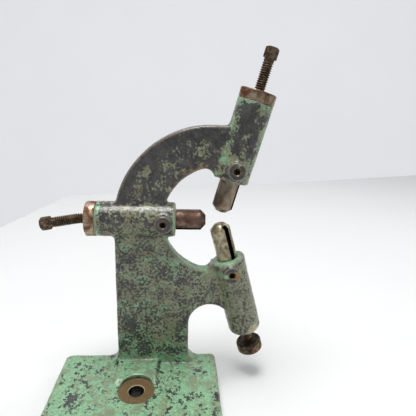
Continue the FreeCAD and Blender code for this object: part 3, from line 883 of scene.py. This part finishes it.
def make_jaw(name):
    """Round keyed jaw: each outline point of the section keeps its direction, and its distance from the
    axis is held down to the profile radius, which runs up the crowned tip, the worn bevel and the side."""
    out, key = OUT[name], KEY_SIDE[name]
    across = np.cross(out, key)
    tip, rear = span(name + "_jaw", name)
    jaw_r = girth(name + "_jaw", name)
    bevel, crown, rear_edge = 3.1 * MM, 0.12 * MM, 0.4 * MM
    profile = rounded_profile([(tip, 0, 0), (tip + crown, jaw_r - bevel, 0.7 * MM),
                               (tip + bevel, jaw_r, 1.1 * MM), (rear - rear_edge, jaw_r, 0.2 * MM),
                               (rear, jaw_r - rear_edge, 0.2 * MM), (rear, 0, 0)], 0.4 * MM)[1:-1]
    section = keyed_section(jaw_r)
    reach = np.linalg.norm(section, axis=1)
    held = section * (np.minimum(reach, profile[:, 1:]) / reach)[:, :, None]
    points = CENTRE + profile[:, :1, None] * out + held[:, :, :1] * key + held[:, :, 1:] * across
    sample = points.reshape(-1, 3)
    wear = 0.05 * MM * np.minimum(lumps(sample, 2.5 * MM, 31) - 0.3, 0.0)
    outward = (sample - CENTRE) - np.outer((sample - CENTRE) @ out, out)
    outward /= np.linalg.norm(outward, axis=1).clip(1e-9)[:, None]
    points = (sample + outward * wear[:, None]).reshape(points.shape)
    poles = np.array([CENTRE + tip * out, CENTRE + rear * out])
    mesh = mesh_from_rows(name + "_jaw_bar", points, poles)
    mark_relief(mesh, 6, 0.15 * MM)
    arm = get_points(mesh)[0] - CENTRE
    aside, deep = np.abs(arm @ across), arm @ key
    in_keyway = ((aside < KEYWAY_HALF + 0.12 * MM) & (deep > 0)
                 & (np.hypot(aside, deep) < jaw_r - 0.25 * MM) & (arm @ out > tip + 1.2 * MM))
    # Painted shade: the keyway's walls and floor near-black.
    set_values(mesh, "painted_shade", in_keyway)
    place(name + "_jaw_bar", mesh, name + "_jaw", name + "_jaw_steel", name + "_jaw")
    mesh.set_sharp_from_angle(angle=math.radians(40))


# ---- screws --------------------------------------------------------------------------------------
PITCH = 1.27 * MM
THREAD_R = 3.175 * MM
ROOT_R = 2.5 * MM
STEM_R = 2.4 * MM
GROOVE_R, GROOVE_HALF = 1.6 * MM, 0.95 * MM
NECK_R, NECK_LENGTH = 2.95 * MM, 1.3 * MM
HEAD_HALF = THREAD_R
HEAD_HEIGHT = {"side": 6.35 * MM, "upper": 6.35 * MM, "lower": 8.0 * MM}
HEAD_TURN = {"side": math.radians(20.0), "upper": math.radians(7.0)}
CREST_FLAT, ROOT_FLAT = 0.86, 0.22
KNURL_PITCH, KNURL_DEPTH = 1.25 * MM, 0.14 * MM


def thread_radius(along, angle):
    """Radius of a right-hand 60 degree thread at a height and an angle: a saw of even slopes between the
    root and the crest, its crests and roots cut flat."""
    phase = (along[:, None] / PITCH - angle[None, :] / (2 * np.pi)) % 1.0
    wave = 1.0 - np.abs(2.0 * phase - 1.0)
    level = np.clip((wave - ROOT_FLAT) / (CREST_FLAT - ROOT_FLAT), 0.0, 1.0)
    return ROOT_R + (THREAD_R - ROOT_R) * level


def square_radius(angle, turn):
    """Radius of a square with soft corners: the half width over the ninth-power sum of the direction's
    cosine and sine."""
    c, s = np.abs(np.cos(angle - turn - np.pi / 4)), np.abs(np.sin(angle - turn - np.pi / 4))
    power = 9.0
    return HEAD_HALF / (c ** power + s ** power) ** (1.0 / power)


BEND_AT = 83.4 * MM
BEND_LENGTH = 3.0 * MM
BEND_ANGLE = math.radians(10.0)
SIDE_HEAD_AT = 101.75 * MM


def bent_down(points, out):
    """Points of a straight screw carried over to the bent one: the part past the bend is pulled back by
    the bend's length and turned about the bend's centre, the bent stretch by its share of the angle."""
    past = np.clip((points - CENTRE) @ out - BEND_AT, 0.0, BEND_LENGTH)
    pivot = CENTRE + out * BEND_AT - np.array([0.0, 0.0, BEND_LENGTH / BEND_ANGLE])
    axis = np.cross(out, [0.0, 0.0, -1.0])
    arm = points - past[:, None] * out - pivot
    angle = (past / BEND_LENGTH * BEND_ANGLE)[:, None]
    along = (arm @ axis)[:, None] * axis
    return pivot + arm * np.cos(angle) + np.cross(axis, arm) * np.sin(angle) + along * (1.0 - np.cos(angle))


def screw_stem(end, groove, thread_from):
    """Profile of the plain end, with the groove that the cross pin sits in."""
    near, far = groove - GROOVE_HALF, groove + GROOVE_HALF
    return rounded_profile([(end, 0, 0), (end, STEM_R, 0.3 * MM), (near, STEM_R, 0),
                            (near, GROOVE_R, 0.2 * MM), (far, GROOVE_R, 0.2 * MM), (far, STEM_R, 0),
                            (thread_from, STEM_R, 0)], 0.6 * MM)[1:]


def threaded_length(thread_from, thread_to, angle):
    """Heights and radii of the thread, which grows out of the stem and runs down into the neck."""
    along, turn = np.arange(thread_from, thread_to, PITCH / 11), 0.9 * PITCH
    radius = thread_radius(along, angle)
    radius = STEM_R + (radius - STEM_R) * smooth_step(0, turn, along - thread_from)[:, None]
    return along, NECK_R + (radius - NECK_R) * smooth_step(0, turn, thread_to - along)[:, None]


def square_head(name, neck, head, top, angle):
    """Heights and radii of a square head: the least of its crowned profile and its square section."""
    profile = rounded_profile([(neck, NECK_R, 0), (head, NECK_R, 0.3 * MM), (head, 4.3 * MM, 0.5 * MM),
                               (top - 0.9 * MM, 4.4 * MM, 0.6 * MM), (top - 0.1 * MM, 2.9 * MM, 0.8 * MM),
                               (top, 0, 0)], 0.25 * MM)[1:-1]
    return profile[:, 0], np.minimum(profile[:, 1:], square_radius(angle, HEAD_TURN[name]))


def round_head(neck, head, top, angle):
    """Heights and radii of the knurled round head: the profile's radius, sunk on the rim between the two
    crossing sets of ridges, except where lumps of wear leave it smooth."""
    head_r = girth("lower_screw", "lower")
    profile = rounded_profile([(neck, NECK_R, 0), (head, NECK_R, 0.4 * MM),
                               (head + 0.5 * MM, head_r - 2 * MM, 0.5 * MM),
                               (head, head_r - 1.4 * MM, 0.3 * MM), (head + 1.2 * MM, head_r, 0.9 * MM),
                               (top - 1.4 * MM, head_r, 1.2 * MM), (top, head_r - 1.5 * MM, 1.0 * MM),
                               (top, 0, 0)], 0.3 * MM)[1:-1]
    radius = np.repeat(profile[:, 1:], len(angle), axis=1)
    rim = smooth_step(head_r - 0.25 * MM, head_r - 0.02 * MM, radius)
    ridges = round(2 * np.pi * head_r / KNURL_PITCH) * angle
    climb = profile[:, :1] / KNURL_PITCH * 2.0
    knurl = np.maximum(np.sin(ridges + climb * np.pi), np.sin(ridges - climb * np.pi))
    sample = np.stack(np.broadcast_arrays(angle * head_r / KNURL_PITCH, climb, 0.0), axis=-1)
    worn = smooth_step(-0.2, 0.5, lumps(sample.reshape(-1, 3), 9.0, 41).reshape(radius.shape))
    return profile[:, 0], radius - rim * (1.0 - worn) * KNURL_DEPTH * (0.5 + 0.5 * knurl)


def make_screw(name):
    """Adjusting screw as one surface: plain end, thread, neck and head in turn, each as rows of heights
    and radii; then pitted, and on the side station bent."""
    out, jaw_rear = OUT[name], span(name + "_jaw", name)[1]
    end, top = span(name + "_screw", name)
    if name == "side":
        top = SIDE_HEAD_AT + HEAD_HEIGHT[name]
    head = top - HEAD_HEIGHT[name]
    thread_from, thread_to = jaw_rear + 0.4 * MM, head - NECK_LENGTH
    angle = even_angles(168 if name == "lower" else 96)
    stem = screw_stem(end, jaw_rear - 4.0 * MM, thread_from)
    parts = [(stem[:, 0], np.repeat(stem[:, 1:], len(angle), axis=1)),
             threaded_length(thread_from, thread_to, angle)]
    if name == "lower":
        parts.append(round_head(thread_to, head, top, angle))
    else:
        parts.append(square_head(name, thread_to, head, top, angle))
    along, radius = (np.concatenate(rows) for rows in zip(*parts))
    mesh = tube_mesh(name + "_screw_thread", along, radius, out, CENTRE)
    points, normals = get_points(mesh)
    pitting = 0.03 * MM * np.minimum(lumps(points, 1.6 * MM, 51) - 0.3, 0.0)
    points = points + normals * pitting[:, None]
    move_points(mesh, bent_down(points, out) if name == "side" else points)
    mark_relief(mesh, 14, 0.25 * MM)
    # Painted shade on the lower screw: the neck and the round head's inner face near-black.
    if name == "lower":
        along = near_axis(get_points(mesh)[0], CENTRE, out)[0]
        shaded = (smooth_step(head - 1.5 * MM, head - 0.8 * MM, along)
                  * fade(head + 0.6 * MM, head + 1.6 * MM, along))
        set_values(mesh, "painted_shade", 0.75 * shaded)
    slot = "round_head_steel" if name == "lower" else "screw_steel"
    place(name + "_screw_thread", mesh, name + "_screw", slot, name + "_screw")


# ---- stage ---------------------------------------------------------------------------------------
CAMERA_FROM_CENTRE = np.array([-23.27, -221.48, 68.94]) * MM
CAMERA_DOWN, CAMERA_RIGHT, CAMERA_ROLL = 15.453, 4.364, -1.940
CAMERA_LENS = 32.27


def stand_turned(name, data, side, top, back, at):
    """Camera or light at a place, turned by its three unit directions."""
    to_world = np.eye(4)
    to_world[:3] = np.stack([side, top, back, at], axis=1)
    piece = stand(name, data)
    piece.matrix_world = Matrix(to_world.tolist())
    return piece


def make_camera():
    """Camera close in front of the part: turned right, tipped down and rolled a little."""
    down, right, roll = (math.radians(a) for a in (CAMERA_DOWN, CAMERA_RIGHT, CAMERA_ROLL))
    ahead = np.array([math.sin(right) * math.cos(down), math.cos(right) * math.cos(down), -math.sin(down)])
    level = np.array([math.cos(right), -math.sin(right), 0.0])
    above = np.cross(level, ahead)
    side = math.cos(roll) * level - math.sin(roll) * above
    top = math.sin(roll) * level + math.cos(roll) * above
    data = bpy.data.cameras.new("camera")
    data.lens = CAMERA_LENS
    data.sensor_width = 36.0
    data.clip_start = 0.01
    at = CENTRE + CAMERA_FROM_CENTRE
    bpy.context.scene.camera = stand_turned("camera", data, side, top, -ahead, at)


def plain_material(name, colour, glow=0.0, roughness=0.6):
    """Plain pale material with faint clouds, that may glow."""
    material, tree, shader, vector = new_material(name)
    shade = ramp_to(tree, fractal(tree, vector, 5.0, detail=3.0), 0.3, 0.7, start=0.985, end=1.0)
    grey = add(tree, "ShaderNodeCombineColor", {0: shade, 1: shade, 2: shade}).outputs[0]
    tint = colour_mix(tree, 1.0, colour, grey, "MULTIPLY")
    tree.links.new(tint, shader.inputs["Base Color"])
    shader.inputs["Roughness"].default_value = roughness
    if glow > 0.0:
        tree.links.new(tint, shader.inputs["Emission Color"])
        shader.inputs["Emission Strength"].default_value = glow
    return material


def stage_plate(name, outline, material):
    """Flat plate of the stage: one polygon."""
    mesh = mesh_from_faces(name, np.asarray(outline, float), [np.arange(len(outline))[None, :]])
    mesh.materials.append(material)
    stand(name, mesh)


def make_stage():
    """White table whose far left corner is rounded, and a pale wall behind it. The corner is the curve
    corner + left (1 - t)^2 + far t^2, between its two edges."""
    corner = CENTRE[:2] + np.array([-0.245, 0.512])
    along_far, along_left = np.array([0.945, 0.327]), np.array([-0.19, -0.98])
    rounding, far_end, near_edge, left_end = 0.03, 1.9, -1.3, -0.55
    t = np.linspace(0.0, 1.0, 13)[:, None]
    curve = corner + along_left * rounding * (1 - t) ** 2 + along_far * rounding * t ** 2
    outline = np.concatenate([curve, [corner + along_far * far_end, [far_end, near_edge],
                                      [left_end, near_edge]]])
    flat = np.concatenate([outline, np.zeros((len(outline), 1))], axis=1)[::-1]
    stage_plate("table", flat, plain_material("white_table", rgb(231, 231, 231)))
    wall_y, half, low, high = 1.75, 3.2, -1.6, 2.2
    wall = [[-half, wall_y, low], [half, wall_y, low], [half, wall_y, high], [-half, wall_y, high]]
    stage_plate("wall", wall, plain_material("pale_wall", rgb(190, 191, 193), glow=1.0, roughness=0.9))


def make_light(name, at, size, power):
    """Square soft light that faces the work centre."""
    data = bpy.data.lights.new(name, "AREA")
    data.shape = "SQUARE"
    data.size = size
    data.energy = power
    back = np.array(at) / np.linalg.norm(at)
    side = np.cross(UP, back)
    side /= np.linalg.norm(side)
    stand_turned(name, data, side, np.cross(back, side), back, CENTRE + np.array(at))


def make_world(strength):
    """Even pale surroundings."""
    world = bpy.data.worlds.new("studio")
    world.use_nodes = True
    background = world.node_tree.nodes["Background"]
    background.inputs["Color"].default_value = (0.97, 0.98, 1.0, 1.0)
    background.inputs["Strength"].default_value = strength
    bpy.context.scene.world = world


dress_cad_nodes()
make_casting()
for station in ("side", "upper"):
    make_cap(station)
for station in STATIONS:
    make_jaw(station)
    make_screw(station)

make_camera()
make_stage()
make_world(strength=0.38)
make_light("key", at=(-0.12, -0.1, 1.0), size=0.45, power=10.4)
make_light("fill", at=(0.6, 0.3, 0.6), size=0.4, power=1.2)
bpy.context.scene.view_settings.view_transform = "Standard"
